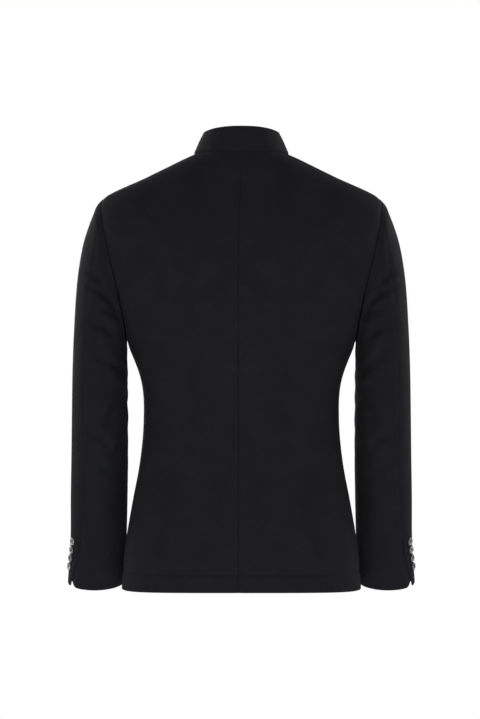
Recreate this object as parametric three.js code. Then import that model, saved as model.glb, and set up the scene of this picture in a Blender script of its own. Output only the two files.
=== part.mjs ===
// A long-sleeved jacket with a stand collar, filled out as it is worn and hollow inside.
// Millimetres. +Z is up, the front faces -Y and +X is the wearer's left. The origin is the
// middle of the neck base, level with the points where the shoulder seams meet the collar.
import * as THREE from 'three';

// ---- driving dimensions -------------------------------------------------------------------
const wall = 2;                 // the cloth with its seam allowances
const seamGap = 0.3;            // the open line between two pieces at a seam
const buttonLap = 18;           // how far each front runs past the centre line
const lapInset = 3.4;           // how far the under front lies below the upper one
const hemCorner = 0.5;          // height of the rounded front hem corner, in levels
const backSeamDrift = 5;        // the centre back seam hangs this far to the wearer's left
const sideSeamTurn = 75;        // where the side seam runs below the waist
const armholeLevel = 8;         // middle of the armhole, in levels
const armholeReach = 2;         // its half height, in levels
const armholeBack = 30;         // how deep it is cut into the back, in degrees of turn
const armholeFront = 30;        // and into the front
const frontSeam = 220;          // where the inner seam runs round the sleeve, in degrees
const frontButton = { radius: 10, thick: 4, levels: [11.2, 8.53, 6.44, 4.885, 3.4] };  // 96 mm apart
const cuffButton = { count: 4, radius: 6.4, thick: 3, first: 9.94, pitch: 14.6, ahead: 20 };
const pocket = { rear: 3, front: 7, bottom: 1, top: 5, gap: 0.4 };

const clothLook = { color: 0x1c1c20, roughness: 0.85, metalness: 0 };
const buttonLook = { color: 0x8c8d92, roughness: 0.35, metalness: 0 };

// Rings round the body. A ring's level is its row number: 0 is the hem, 6 the underarm, 10
// the shoulder tip and 12 the neck seam. Each has three heights, its half width, how far the
// back and the front stand from the middle, and how square the back and front curves are.
const bodyRings = [
  { zBack: -698, zSide: -702.5, zFront: -701, half: 194, back: 118, front: 122, backPow: 2.8, frontPow: 2.3 },
  { zBack: -631, zSide: -632, zFront: -632, half: 188.2, back: 115, front: 119, backPow: 2.7, frontPow: 2.3 },
  { zBack: -565, zSide: -565, zFront: -565, half: 177.3, back: 108, front: 114, backPow: 2.6, frontPow: 2.3 },
  { zBack: -500, zSide: -500, zFront: -500, half: 165.3, back: 100, front: 109, backPow: 2.5, frontPow: 2.3 },
  { zBack: -435, zSide: -435, zFront: -435, half: 159.2, back: 97, front: 107, backPow: 2.4, frontPow: 2.3 },
  { zBack: -370, zSide: -370, zFront: -370, half: 162.2, back: 102, front: 111, backPow: 2.4, frontPow: 2.3 },
  { zBack: -305, zSide: -305, zFront: -305, half: 186, back: 110, front: 117, backPow: 2.3, frontPow: 2.3 },
  { zBack: -238, zSide: -238, zFront: -250, half: 215, back: 113, front: 119, backPow: 2.3, frontPow: 2.3 },
  { zBack: -175, zSide: -168, zFront: -205, half: 240, back: 111, front: 116, backPow: 2.3, frontPow: 2.3 },
  { zBack: -122, zSide: -106, zFront: -166, half: 247, back: 104, front: 110, backPow: 2.2, frontPow: 2.2 },
  { zBack: -80, zSide: -70.5, zFront: -131, half: 226, back: 95, front: 102, backPow: 2.05, frontPow: 2.05 },
  { zBack: -39, zSide: -35, zFront: -95, half: 152, back: 84, front: 90, backPow: 2.15, frontPow: 2.1 },
  { zBack: 1, zSide: 1.5, zFront: -64, half: 77.5, back: 72, front: 75, backPow: 2.1, frontPow: 2 },
];
const neckLevel = bodyRings.length - 1;
const underarmLevel = armholeLevel - armholeReach;

// Rings down the left sleeve, from the armhole to the cuff. Each has its outer and inner
// points, the middle and half of its depth, how much its back edge hangs below its middle,
// and where the hind seam crosses it, in degrees from the outer point towards the back.
const sleeveRings = [
  { outerX: 226, outerZ: -70, innerX: 186, innerZ: -305, midY: -2, half: 62, lean: 0, hind: 60 },
  { outerX: 237, outerZ: -88, innerX: 186, innerZ: -308, midY: -2, half: 62, lean: 0, hind: 60 },
  { outerX: 247.8, outerZ: -113, innerX: 186, innerZ: -312, midY: -1, half: 62, lean: 0, hind: 60 },
  { outerX: 258.8, outerZ: -150, innerX: 185.5, innerZ: -318, midY: 0, half: 62, lean: 0, hind: 60 },
  { outerX: 267.3, outerZ: -205, innerX: 185.3, innerZ: -330, midY: 0, half: 61, lean: 0, hind: 60 },
  { outerX: 272.1, outerZ: -275, innerX: 185, innerZ: -352, midY: 0, half: 59, lean: 0.02, hind: 60 },
  { outerX: 275.1, outerZ: -345, innerX: 184.8, innerZ: -386, midY: -2, half: 57, lean: 0.05, hind: 60 },
  { outerX: 276.6, outerZ: -415, innerX: 184.8, innerZ: -432, midY: -6, half: 54.5, lean: 0.1, hind: 60 },
  { outerX: 278.2, outerZ: -485, innerX: 185.4, innerZ: -492, midY: -15, half: 52, lean: 0.16, hind: 60 },
  { outerX: 280.5, outerZ: -557, innerX: 187, innerZ: -560, midY: -28, half: 49.5, lean: 0.2, hind: 60 },
  { outerX: 282.3, outerZ: -629, innerX: 189.6, innerZ: -630, midY: -43, half: 47, lean: 0.23, hind: 50 },
  { outerX: 288, outerZ: -700, innerX: 193, innerZ: -700, midY: -57, half: 45, lean: 0.23, hind: 31 },
];
const cuffStep = sleeveRings.length - 1;
const sleeveRadius = 50;        // about what it measures from its middle
const sleeveHalfGap = 0.28;     // what each sleeve piece gives up at the seams down the sleeve
const capSteps = 3;             // the sleeve's first rings still follow the armhole's own curve
const stepLength = 70;          // what one step measures down the sleeve

// The sleeve's largest folds: place round and down the sleeve, half length and half width in
// millimetres, how far the fold's line turns from level, and its depth (a ridge is negative).
const sleeveFolds = [
  { around: 128, step: 4.6, long: 34, wide: 11, slant: -40, deep: 2.5 },
  { around: 118, step: 5.3, long: 38, wide: 12, slant: 20, deep: 2 },
  { around: 150, step: 6.7, long: 36, wide: 12, slant: -50, deep: 3 },
  { around: 205, step: 7.2, long: 40, wide: 13, slant: 12, deep: 4 },
  { around: 255, step: 7.0, long: 42, wide: 14, slant: -10, deep: 3.5 },
  { around: 235, step: 8.1, long: 36, wide: 13, slant: -24, deep: 3 },
];

// The stand collar's top edge, above the neck seam, and the rounded corners at its ends.
const collarTop = {
  zBack: 41.5, zSide: 36, zFront: -26, half: 62, back: 63, front: 60, backPow: 2.4, frontPow: 2,
};
const collarHalfGap = 1.2;      // where each end stops short of the centre front
const collarCornerTurn = 17;    // how far round the rounded corner reaches, in degrees
const collarCornerDrop = 0.5;   // how much of the collar's height it takes
const lapDrop = 0.06;           // the upper front's corner stays this far below the collar, in levels

// ---- curves -------------------------------------------------------------------------------
const degree = Math.PI / 180;
const group = new THREE.Group();

// The value of one column part way between two rows, on a smooth curve through the rows.
function along(rows, column, place) {
  const last = rows.length - 1;
  const start = Math.min(Math.max(Math.floor(place), 0), last - 1);
  const t = place - start;
  const b = rows[start][column];
  const c = rows[start + 1][column];
  const a = start > 0 ? rows[start - 1][column] : 2 * b - c;
  const d = start + 2 <= last ? rows[start + 2][column] : 2 * c - b;
  return 0.5 * (2 * b + (c - a) * t + (2 * a - 5 * b + 4 * c - d) * t * t + (3 * b - a - 3 * c + d) * t ** 3);
}

function smooth(from, to, value) {
  const t = Math.min(Math.max((value - from) / (to - from), 0), 1);
  return t * t * (3 - 2 * t);
}

// One point of a ring. The turn is 0 at the centre back, 90 at the wearer's left side and
// 180 at the centre front, and negative on the right.
function ringPoint(ring, turn, backPow, frontPow) {
  const side = Math.sin(turn * degree);
  const depth = Math.cos(turn * degree);
  const power = 2 / (depth > 0 ? backPow : frontPow);
  const reach = depth > 0 ? ring.back : -ring.front;
  const middle = depth > 0 ? ring.zBack : ring.zFront;
  return new THREE.Vector3(
    ring.half * Math.sign(side) * Math.abs(side) ** power,
    reach * Math.abs(depth) ** power,
    middle + (ring.zSide - middle) * side * side);
}

function bodyRing(level) {
  const ring = {};
  for (const column of Object.keys(bodyRings[0])) ring[column] = along(bodyRings, column, level);
  return ring;
}

function bodyPoint(turn, level) {
  const ring = bodyRing(level);
  return ringPoint(ring, turn, ring.backPow, ring.frontPow);
}

// The outward normal of a surface, from its own slopes.
function normalOf(surface, u, v, du, dv) {
  const acrossU = surface(u + du, v).sub(surface(u - du, v));
  const acrossV = surface(u, v + dv).sub(surface(u, v - dv));
  return acrossU.cross(acrossV).normalize();
}

const bodyNormal = (turn, level) => normalOf(bodyPoint, turn, level, 0.5, -0.02);

// The turn at which a ring of the front crosses a distance from the centre line.
function frontTurnAt(x, level) {
  const ring = bodyRing(level);
  const side = Math.sign(x) * (Math.abs(x) / ring.half) ** (ring.frontPow / 2);
  return 180 - Math.asin(side) / degree;
}

// ---- seams --------------------------------------------------------------------------------
// The armhole is a loop. Its place runs from 0 at the shoulder tip over 90 at the back and
// 180 at the underarm to 270 at the front.
function armholeTurn(place) {
  const cut = Math.sin(place * degree);
  return 90 - cut * (cut > 0 ? armholeBack : armholeFront);
}

const armholeHeight = (place) => armholeLevel + armholeReach * Math.cos(place * degree);
const armholePoint = (place) => bodyPoint(armholeTurn(place), armholeHeight(place));

// Both cloths turn in along one direction at the armhole, so that their edges stay parallel:
// straight towards the middle of the hole over the shoulder, and half along each cloth's own
// normal at the underarm, where the two hang back to back.
function armholeEdge(place, normal) {
  const across = new THREE.Vector3(0, Math.sin(place * degree) * 2, Math.cos(place * degree)).normalize();
  const own = 0.5 * smooth(0.3, -1, Math.cos(place * degree));
  return across.multiplyScalar(1 - own).addScaledVector(normal, own).normalize();
}

const sideTurn = (level) => 90 - (90 - sideSeamTurn) * smooth(underarmLevel, 2.6, level);

// The neck seam's edge lies level, square to the seam.
function neckEdge(turn) {
  const ring = bodyRing(neckLevel);
  const out = ringPoint(ring, turn, ring.backPow, ring.frontPow);
  return new THREE.Vector3(out.x / ring.half, out.y / ring.back, 0).normalize();
}

// ---- shells -------------------------------------------------------------------------------
// A closed wall from a grid of outer points and a grid of inner points. Each cell is split
// along its shorter diagonal.
function shell(outer, inner) {
  const rows = outer.length;
  const columns = outer[0].length;
  const points = [...outer.flat(), ...inner.flat()];
  const innerStart = rows * columns;
  const faces = [];
  const quad = (a, b, c, d) => faces.push(a, b, c, a, c, d);
  const at = (row, column) => row * columns + column;
  for (let row = 0; row < rows - 1; row += 1) {
    for (let column = 0; column < columns - 1; column += 1) {
      const corners = [at(row, column), at(row, column + 1), at(row + 1, column + 1), at(row + 1, column)];
      const [a, b, c, d] = corners.map((corner) => points[corner]);
      if (a.distanceTo(c) > b.distanceTo(d)) corners.push(corners.shift());
      quad(...corners);
      quad(...corners.map((corner) => corner + innerStart).reverse());
    }
  }
  const rim = [];
  for (let column = 0; column < columns - 1; column += 1) rim.push(at(0, column));
  for (let row = 0; row < rows - 1; row += 1) rim.push(at(row, columns - 1));
  for (let column = columns - 1; column > 0; column -= 1) rim.push(at(rows - 1, column));
  for (let row = rows - 1; row > 0; row -= 1) rim.push(at(row, 0));
  rim.forEach((corner, index) => {
    const next = rim[(index + 1) % rim.length];
    quad(corner, corner + innerStart, next + innerStart, next);
  });
  return solid(points, faces);
}

// A geometry whose faces point out, whichever way round its triangles were given.
function solid(points, faces) {
  let volume = 0;
  for (let i = 0; i < faces.length; i += 3) {
    const [a, b, c] = [points[faces[i]], points[faces[i + 1]], points[faces[i + 2]]];
    volume += a.dot(b.clone().cross(c));
  }
  if (volume < 0) faces.reverse();
  const geometry = new THREE.BufferGeometry();
  geometry.setAttribute('position', new THREE.Float32BufferAttribute(points.flatMap((p) => p.toArray()), 3));
  geometry.setIndex(faces);
  geometry.computeVertexNormals();
  return geometry;
}

function addPiece(name, geometry, look) {
  const mesh = new THREE.Mesh(geometry, new THREE.MeshStandardMaterial(look));
  mesh.name = name;
  group.add(mesh);
  return mesh;
}

// A grid with one entry for each row and column.
const grid = (rows, columns, make) => rows.map((row) => columns.map((column) => make(row, column)));
const mirrored = (points) => points.map((row) => row.map((p) => new THREE.Vector3(-p.x, p.y, p.z)));

// ---- body panels --------------------------------------------------------------------------
// The panels' rows: levels below the armhole, places round the armhole, levels to the neck.
const armholePlaces = [180, 160, 140, 120, 100, 80, 60, 40, 20, 0];
const panelRows = [
  ...[0, 0.46, 0.9, 1.7, 2.5, 3.3, 4.1, 4.8, 5.3, 5.7].map((level) => ({ level })),
  ...armholePlaces.map((place) => ({ level: armholeHeight(place), place })),
  ...[10.6, 11.3, neckLevel].map((level) => ({ level })),
];

// The armhole place of a row, which the front counts the other way round.
const placeOn = (half, row) => (half === 'back' ? row.place : 360 - row.place);

// The turn of a panel's outer edge: side seam, then armhole, then shoulder seam.
function edgeTurn(row, half) {
  if (row.place !== undefined) return armholeTurn(placeOn(half, row));
  return row.level < underarmLevel ? sideTurn(row.level) : 90;
}

// The inner point under an outer one. Edges at the armhole and the neck turn in as their
// seams do, and all others along the cloth's normal.
function bodyInner(point, turn, row, half, atEdge) {
  const normal = bodyNormal(turn, row.level);
  let inward = normal;
  if (row.level === neckLevel) inward = neckEdge(turn);
  if (atEdge && row.place !== undefined) inward = armholeEdge(placeOn(half, row), normal);
  return point.clone().addScaledVector(inward, -wall);
}

// Half of the seam gap, which each cloth gives up at a seam, in degrees. Between the ends of
// the armhole the sleeve keeps the gap instead.
function gapTurn(row, turn) {
  if (row.place > 0 && row.place < 180) return 0;
  const nudge = 0.01;
  const reach = bodyPoint(turn + nudge, row.level).distanceTo(bodyPoint(turn - nudge, row.level));
  return (seamGap / 2) * (2 * nudge / reach);
}

const backShares = [0, 0.11, 0.23, 0.36, 0.49, 0.62, 0.75, 0.88, 1];
const frontShares = [0, 0.1, 0.2, 0.3, 0.46, 0.62, 0.78, 0.94, 1];
const frontDistances = [50, 36, 23, 11, collarHalfGap, -buttonLap];

// The turns of a back panel's columns, from the centre back seam to the panel's outer edge.
function backTurns(row, side) {
  const ring = bodyRing(row.level);
  const drift = side * backSeamDrift * smooth(neckLevel, 8, row.level) + seamGap / 2;
  const start = Math.asin(Math.sign(drift) * (Math.abs(drift) / ring.half) ** (ring.backPow / 2)) / degree;
  const edge = edgeTurn(row, 'back');
  const end = edge - gapTurn(row, edge);
  return backShares.map((share) => start + share * (end - start));
}

// The turns of a front's columns, from its outer edge to the lap. The last ones keep their
// distances from the centre line.
function frontTurns(row) {
  const edge = edgeTurn(row, 'front');
  const start = edge + gapTurn(row, edge);
  const [end, ...rest] = frontDistances.map((x) => frontTurnAt(x, row.level));
  return [...frontShares.map((share) => start + share * (end - start)), ...rest];
}

function backPanel(side) {
  const outer = [];
  const inner = [];
  for (const row of panelRows) {
    const turns = backTurns(row, side);
    const points = turns.map((turn) => bodyPoint(turn, row.level));
    outer.push(points);
    inner.push(points.map((p, k) => bodyInner(p, turns[k], row, 'back', k === turns.length - 1)));
  }
  return side > 0 ? shell(outer, inner) : shell(mirrored(outer), mirrored(inner));
}

// Each front runs from the side past the centre line. The right one dips under the left.
function frontPanel(side) {
  const distances = [...frontShares.map(() => frontDistances[0]), ...frontDistances.slice(1)];
  const outer = [];
  const inner = [];
  const normals = [];
  for (const row of panelRows) {
    const rounding = hemCorner * Math.max(0, 1 - row.level / 1.8);
    const drop = row.level === neckLevel ? lapDrop : 0;
    const columns = frontTurns(row).map((turn, k) => {
      const nearEdge = 1 - smooth(-buttonLap, 16, distances[k]);
      const level = row.level + rounding * nearEdge - (distances[k] < 0 ? drop : 0);
      const normal = bodyNormal(turn, level);
      const dip = side < 0 ? lapInset * (1 - smooth(buttonLap + 5, frontDistances[0], distances[k])) : 0;
      const point = bodyPoint(turn, level).addScaledVector(normal, -dip);
      return { point, normal, inside: bodyInner(point, turn, row, 'front', k === 0) };
    });
    outer.push(columns.map((column) => column.point));
    inner.push(columns.map((column) => column.inside));
    normals.push(columns.map((column) => column.normal));
  }
  const geometry = side > 0 ? shell(outer, inner) : shell(mirrored(outer), mirrored(inner));
  return { geometry, outer, normals };
}

// A patch pocket is a stretch of the front's own points, moved out, with rounded lower corners.
function patchPocket(front, side) {
  const rowNumbers = [...Array(pocket.top - pocket.bottom + 1).keys()].map((k) => k + pocket.bottom);
  const columnNumbers = [...Array(pocket.front - pocket.rear + 1).keys()].map((k) => k + pocket.rear);
  const cornerCut = 0.3;
  const lifted = (height) => grid(rowNumbers, columnNumbers, (row, column) => {
    const onPanel = front.outer[row][column].clone();
    const atCorner = row === pocket.bottom && (column === pocket.rear || column === pocket.front);
    const inside = column === pocket.rear ? column + 1 : column - 1;
    if (atCorner) onPanel.lerp(front.outer[row + 1][inside], cornerCut);
    return onPanel.addScaledVector(front.normals[row][column], height + (atCorner ? 0.8 : 0));
  });
  const [outer, inner] = [lifted(pocket.gap + wall), lifted(pocket.gap)];
  return side > 0 ? shell(outer, inner) : shell(mirrored(outer), mirrored(inner));
}

const fronts = {};
for (const [name, side] of [['left', 1], ['right', -1]]) {
  addPiece(`back_${name}`, backPanel(side), clothLook);
  fronts[name] = frontPanel(side);
  addPiece(`front_${name}`, fronts[name].geometry, clothLook);
  addPiece(`pocket_${name}`, patchPocket(fronts[name], side), clothLook);
}

// ---- collar -------------------------------------------------------------------------------
// One band from end to end: the neck seam's ring below, its own smaller ring above.
function collarPoint(turn, height) {
  const ring = bodyRing(neckLevel);
  const foot = ringPoint(ring, turn, ring.backPow, ring.frontPow);
  return foot.lerp(ringPoint(collarTop, turn, collarTop.backPow, collarTop.frontPow), height);
}

function collarBand() {
  const seamRow = { level: neckLevel };
  const half = [...backTurns(seamRow, 1).slice(1, -1), 90, ...frontTurns(seamRow).slice(2, -1)];
  const turns = [...half.map((turn) => -turn).reverse(), 0, ...half];
  const collarEnd = half.at(-1);
  const heights = [0.022, 0.35, 0.7, 1];
  const place = (turn, height) => {
    const toEnd = Math.min(Math.max((collarEnd - Math.abs(turn)) / collarCornerTurn, 0), 1);
    return height * (1 - collarCornerDrop * (1 - Math.sqrt(1 - (1 - toEnd) ** 2)));
  };
  const outer = grid(heights, turns, (height, turn) => collarPoint(turn, place(turn, height)));
  const inner = grid(heights, turns, (height, turn) => {
    const level = place(turn, height);
    const inward = height === heights[0] ? neckEdge(turn) : normalOf(collarPoint, turn, level, 0.3, -0.02);
    return collarPoint(turn, level).addScaledVector(inward, -wall);
  });
  return shell(outer, inner);
}

addPiece('collar', collarBand(), clothLook);

// ---- sleeves ------------------------------------------------------------------------------
// How far the folds press the cloth in at one place: soft troughs, straight or slanting.
function foldDepth(around, step) {
  let depth = 0;
  for (const fold of sleeveFolds) {
    const x = (around - fold.around) * degree * sleeveRadius;
    const y = (step - fold.step) * stepLength;
    const turn = fold.slant * degree;
    const lengthwise = x * Math.cos(turn) + y * Math.sin(turn);
    const crosswise = y * Math.cos(turn) - x * Math.sin(turn);
    depth += fold.deep * Math.exp(-((lengthwise / fold.long) ** 2) - (crosswise / fold.wide) ** 2);
  }
  return depth;
}

// One point of a sleeve ring. Around runs as the armhole's place does.
function sleeveRingPoint(around, step) {
  const ring = {};
  for (const column of Object.keys(sleeveRings[0])) ring[column] = along(sleeveRings, column, step);
  const out = Math.cos(around * degree);
  const back = Math.sin(around * degree);
  const folded = foldDepth(around, step);
  return new THREE.Vector3(
    (ring.outerX + ring.innerX) / 2 + ((ring.outerX - ring.innerX) / 2 - folded) * out,
    ring.midY + (ring.half - folded) * back,
    (ring.outerZ + ring.innerZ) / 2 + ((ring.outerZ - ring.innerZ) / 2) * out - ring.lean * ring.half * back);
}

// One point of the left sleeve: the ring, and near its head the armhole's own curve.
function sleevePoint(around, step) {
  const toArmhole = armholePoint(around).sub(sleeveRingPoint(around, 0));
  return sleeveRingPoint(around, step).addScaledVector(toArmhole, 1 - smooth(0, capSteps, step));
}

const sleeveNormal = (around, step) => {
  const inside = Math.max(step, 0.06);
  return normalOf(sleevePoint, around, inside, 0.5, -0.05);
};

// Part of the sleeve between two seams. Its first row lies beside the armhole.
function sleevePiece(side, start, end) {
  const steps = [0, 0.5, 1, 1.5, 2, 2.6, 3.3, 4, 4.8, 5.6, 6.4, 7.2, 8, 9, 10, 10.6, cuffStep];
  const outer = [];
  const inner = [];
  for (const step of steps) {
    const gap = sleeveHalfGap / sleeveRadius / degree;
    const from = start(step) + gap;
    const to = end(step) - gap;
    const plain = [];
    for (let place = Math.ceil((start(0) + 1) / 20) * 20; place < end(0) - 1; place += 20) plain.push(place);
    const spread = (place) => from + (place - start(0)) / (end(0) - start(0)) * (to - from);
    const arounds = [from, ...plain.map(spread), to];
    const points = arounds.map((around) => sleevePoint(around, step));
    const normals = arounds.map((around) => sleeveNormal(around, step));
    if (step === 0) {
      points.forEach((point) => point.setX(point.x + seamGap + 0.1));
      inner.push(points.map((p, k) => p.clone().addScaledVector(armholeEdge(arounds[k], normals[k]), -wall)));
    } else {
      inner.push(points.map((p, k) => p.clone().addScaledVector(normals[k], -wall)));
    }
    outer.push(points);
  }
  return side > 0 ? shell(outer, inner) : shell(mirrored(outer), mirrored(inner));
}

const hindSeam = (step) => along(sleeveRings, 'hind', step);

for (const [name, side] of [['left', 1], ['right', -1]]) {
  addPiece(`sleeve_top_${name}`, sleevePiece(side, () => frontSeam - 360, hindSeam), clothLook);
  addPiece(`sleeve_under_${name}`, sleevePiece(side, hindSeam, () => frontSeam), clothLook);
}

// ---- buttons ------------------------------------------------------------------------------
// A turned disc with a raised rim and a dished face, standing on its back.
function buttonDisc(radius, thick, segments) {
  const profile = [[0, 0], [0.8, 0], [1, 0.35], [1, 0.7], [0.86, 1], [0.7, 0.75], [0, 0.7]];
  const points = profile.map(([across, up]) => new THREE.Vector2(across * radius, up * thick));
  return new THREE.LatheGeometry(points, segments);
}

// Puts a disc on a surface, its back just clear of the cloth.
function placeButton(mesh, point, normal, side, clearance) {
  const facing = new THREE.Vector3(side * normal.x, normal.y, normal.z);
  mesh.position.set(side * point.x, point.y, point.z).addScaledVector(facing, clearance);
  mesh.quaternion.setFromUnitVectors(new THREE.Vector3(0, 1, 0), facing);
}

for (const [k, level] of frontButton.levels.entries()) {
  const disc = buttonDisc(frontButton.radius, frontButton.thick, 14);
  const mesh = addPiece(`button_front_${k + 1}`, disc, buttonLook);
  placeButton(mesh, bodyPoint(180, level), bodyNormal(180, level), 1, 0.5);
}

for (const [name, side] of [['left', 1], ['right', -1]]) {
  for (let k = 0; k < cuffButton.count; k += 1) {
    const step = cuffButton.first + k * cuffButton.pitch / stepLength;
    const around = hindSeam(step) - cuffButton.ahead;
    const disc = buttonDisc(cuffButton.radius, cuffButton.thick, 10);
    const mesh = addPiece(`button_cuff_${name}_${k + 1}`, disc, buttonLook);
    placeButton(mesh, sleevePoint(around, step), sleeveNormal(around, step), side, 0.7);
  }
}

export default group;
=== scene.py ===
import bpy
import numpy as np
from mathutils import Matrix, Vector


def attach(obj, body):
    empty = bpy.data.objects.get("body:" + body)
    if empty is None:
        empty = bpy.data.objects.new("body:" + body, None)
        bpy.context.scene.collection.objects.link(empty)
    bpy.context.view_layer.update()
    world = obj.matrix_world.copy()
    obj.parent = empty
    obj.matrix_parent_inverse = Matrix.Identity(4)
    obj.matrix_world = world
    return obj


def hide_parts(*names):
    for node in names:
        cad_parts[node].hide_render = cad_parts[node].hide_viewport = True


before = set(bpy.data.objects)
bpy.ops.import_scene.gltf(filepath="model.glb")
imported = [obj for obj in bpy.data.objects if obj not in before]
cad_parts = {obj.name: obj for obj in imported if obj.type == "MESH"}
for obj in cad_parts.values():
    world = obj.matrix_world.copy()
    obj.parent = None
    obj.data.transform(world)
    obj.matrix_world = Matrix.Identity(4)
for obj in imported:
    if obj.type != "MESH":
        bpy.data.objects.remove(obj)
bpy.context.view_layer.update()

# ---- camera ---------------------------------------------------------------------------------
# The jacket turns its back to the camera, which stands three metres behind it, a little above
# the level of the waist, and looks straight ahead.
camera_data = bpy.data.cameras.new("camera")
camera_data.lens = 92.15
camera_data.sensor_width = 36
camera = bpy.data.objects.new("camera", camera_data)
camera.location = (0.0022, 3.0, -0.332)
camera.rotation_euler = (np.pi / 2, 0, np.pi)
bpy.context.scene.collection.objects.link(camera)
bpy.context.scene.camera = camera

# ---- studio ---------------------------------------------------------------------------------
# A plain white studio: a pale floor, a white surround that lights the cloth only a little, and six
# soft lamps: one low behind, one in front, and one high at each side and each front corner.
floor_drop = 1.45
floor_half = 2.4
surround_light = 0.3
lamps = [
    # name, place, width, height, power in watts
    ("lamp_side_left", (2.9, 0.3, 0.9), 1.0, 1.6, 22),
    ("lamp_side_right", (-2.9, 0.3, 0.9), 1.0, 1.6, 22),
    ("lamp_behind", (0.0, 3.4, -0.9), 1.2, 1.2, 86),
    ("lamp_front_left", (2.6, -1.5, 0.9), 1.4, 1.6, 56),
    ("lamp_front_right", (-2.6, -1.5, 0.9), 1.4, 1.6, 56),
    ("lamp_in_front", (0.8, -3.2, 0.4), 1.8, 1.8, 50),
]


def plain_material(name, colour, roughness):
    """A principled material with one colour and one roughness, and its shader node."""
    material = bpy.data.materials.new(name)
    material.use_nodes = True
    shader = material.node_tree.nodes["Principled BSDF"]
    shader.inputs["Base Color"].default_value = (*colour, 1)
    shader.inputs["Roughness"].default_value = roughness
    return material, shader


def mesh_object(name, points, faces, material):
    """A smooth mesh at the origin, from points in millimetres."""
    mesh = bpy.data.meshes.new(name)
    mesh.from_pydata((np.asarray(points) / 1000).tolist(), [], np.asarray(faces).tolist())
    mesh.materials.append(material)
    mesh.shade_smooth()
    made = bpy.data.objects.new(name, mesh)
    bpy.context.scene.collection.objects.link(made)
    return made


floor_material, _ = plain_material("studio_floor", (0.86, 0.86, 0.85), 0.9)
floor_corners = 1000 * np.array([[-1, -1, 0], [1, -1, 0], [1, 1, 0], [-1, 1, 0]]) * floor_half
floor = mesh_object("floor", floor_corners - [0, 0, 1000 * floor_drop], [[0, 1, 2, 3]], floor_material)

world = bpy.data.worlds.new("studio")
bpy.context.scene.world = world
world.use_nodes = True
world_nodes, world_links = world.node_tree.nodes, world.node_tree.links
surround = world_nodes["Background"]
surround.inputs["Color"].default_value = (0.96, 0.98, 1, 1)
surround.inputs["Strength"].default_value = surround_light
seen_white = world_nodes.new("ShaderNodeBackground")
seen_white.inputs["Color"].default_value = (1, 1, 1, 1)
light_path = world_nodes.new("ShaderNodeLightPath")
either = world_nodes.new("ShaderNodeMixShader")
world_links.new(light_path.outputs["Is Camera Ray"], either.inputs["Fac"])
world_links.new(surround.outputs["Background"], either.inputs[1])
world_links.new(seen_white.outputs["Background"], either.inputs[2])
world_links.new(either.outputs["Shader"], world_nodes["World Output"].inputs["Surface"])
bpy.context.scene.view_settings.view_transform = "Standard"

for name, place, width, height, power in lamps:
    lamp_data = bpy.data.lights.new(name, "AREA")
    lamp_data.shape = "RECTANGLE"
    lamp_data.size, lamp_data.size_y = width, height
    lamp_data.energy = power
    lamp = bpy.data.objects.new(name, lamp_data)
    lamp.location = place
    lamp.rotation_euler = (Vector((0, 0, -0.35)) - Vector(place)).to_track_quat("-Z", "Y").to_euler()
    bpy.context.scene.collection.objects.link(lamp)

# ---- suiting --------------------------------------------------------------------------------
# Near-black navy worsted wool in a fine twill: matt, with a soft sheen where the cloth turns
# away, faint slubs along the grain and slightly uneven dye. All cloth pieces are cut from it.
wale = 0.0008                   # from one twill line to the next, in metres
suiting_dark = (0.0070, 0.0071, 0.0088, 1)
suiting_light = (0.0128, 0.0129, 0.0156, 1)


def node_group(name, inputs, outputs):
    """An empty shader node group with named float and vector inputs and outputs."""
    group = bpy.data.node_groups.new(name, "ShaderNodeTree")
    for direction, sockets in (("INPUT", inputs), ("OUTPUT", outputs)):
        for socket, kind in sockets.items():
            group.interface.new_socket(socket, in_out=direction, socket_type=f"NodeSocket{kind}")
    return group, group.nodes.new("NodeGroupInput"), group.nodes.new("NodeGroupOutput")


def add_math(group, operation, first, second):
    """A math node of two sockets or numbers, and its result."""
    node = group.nodes.new("ShaderNodeMath")
    node.operation = operation
    for socket, value in zip(node.inputs, (first, second)):
        if isinstance(value, bpy.types.NodeSocket):
            group.links.new(value, socket)
        else:
            socket.default_value = value
    return node.outputs["Value"]


def add_noise(group, vector, stretch, scale, detail):
    """Noise on a vector that is first stretched along each axis."""
    mapping = group.nodes.new("ShaderNodeMapping")
    mapping.inputs["Scale"].default_value = stretch
    noise = group.nodes.new("ShaderNodeTexNoise")
    noise.inputs["Scale"].default_value = scale
    noise.inputs["Detail"].default_value = detail
    group.links.new(vector, mapping.inputs["Vector"])
    group.links.new(mapping.outputs["Vector"], noise.inputs["Vector"])
    return noise.outputs["Fac"]


def twill_group():
    """Twill on a cloth vector in metres: diagonal lines one wale apart as a height, broken up by slubs, and a
    0 to 1 mask that mixes slubs, broad dye clouds and the lines for colour and roughness."""
    goes_in, comes_out = {"Cloth": "Vector", "Wale": "Float"}, {"Height": "Float", "Mask": "Float"}
    group, start, end = node_group("twill", goes_in, comes_out)
    split = group.nodes.new("ShaderNodeSeparateXYZ")
    group.links.new(start.outputs["Cloth"], split.inputs["Vector"])
    diagonal = add_math(group, "ADD", split.outputs["X"], split.outputs["Y"])
    turns = add_math(group, "DIVIDE", diagonal, start.outputs["Wale"])
    line = add_math(group, "SINE", add_math(group, "MULTIPLY", turns, 2 * np.pi), 0)
    slubs = add_noise(group, start.outputs["Cloth"], (1, 0.12, 1), 900, 2)
    clouds = add_noise(group, start.outputs["Cloth"], (1, 1, 1), 22, 3)
    height = add_math(group, "ADD", add_math(group, "MULTIPLY", line, 0.35), slubs)
    fine = add_math(group, "MULTIPLY", line, 0.12)
    fine = add_math(group, "ADD", fine, add_math(group, "MULTIPLY", slubs, 0.5))
    mask = add_math(group, "ADD", fine, add_math(group, "MULTIPLY", clouds, 0.35))
    group.links.new(height, end.inputs["Height"])
    group.links.new(mask, end.inputs["Mask"])
    return group


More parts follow.
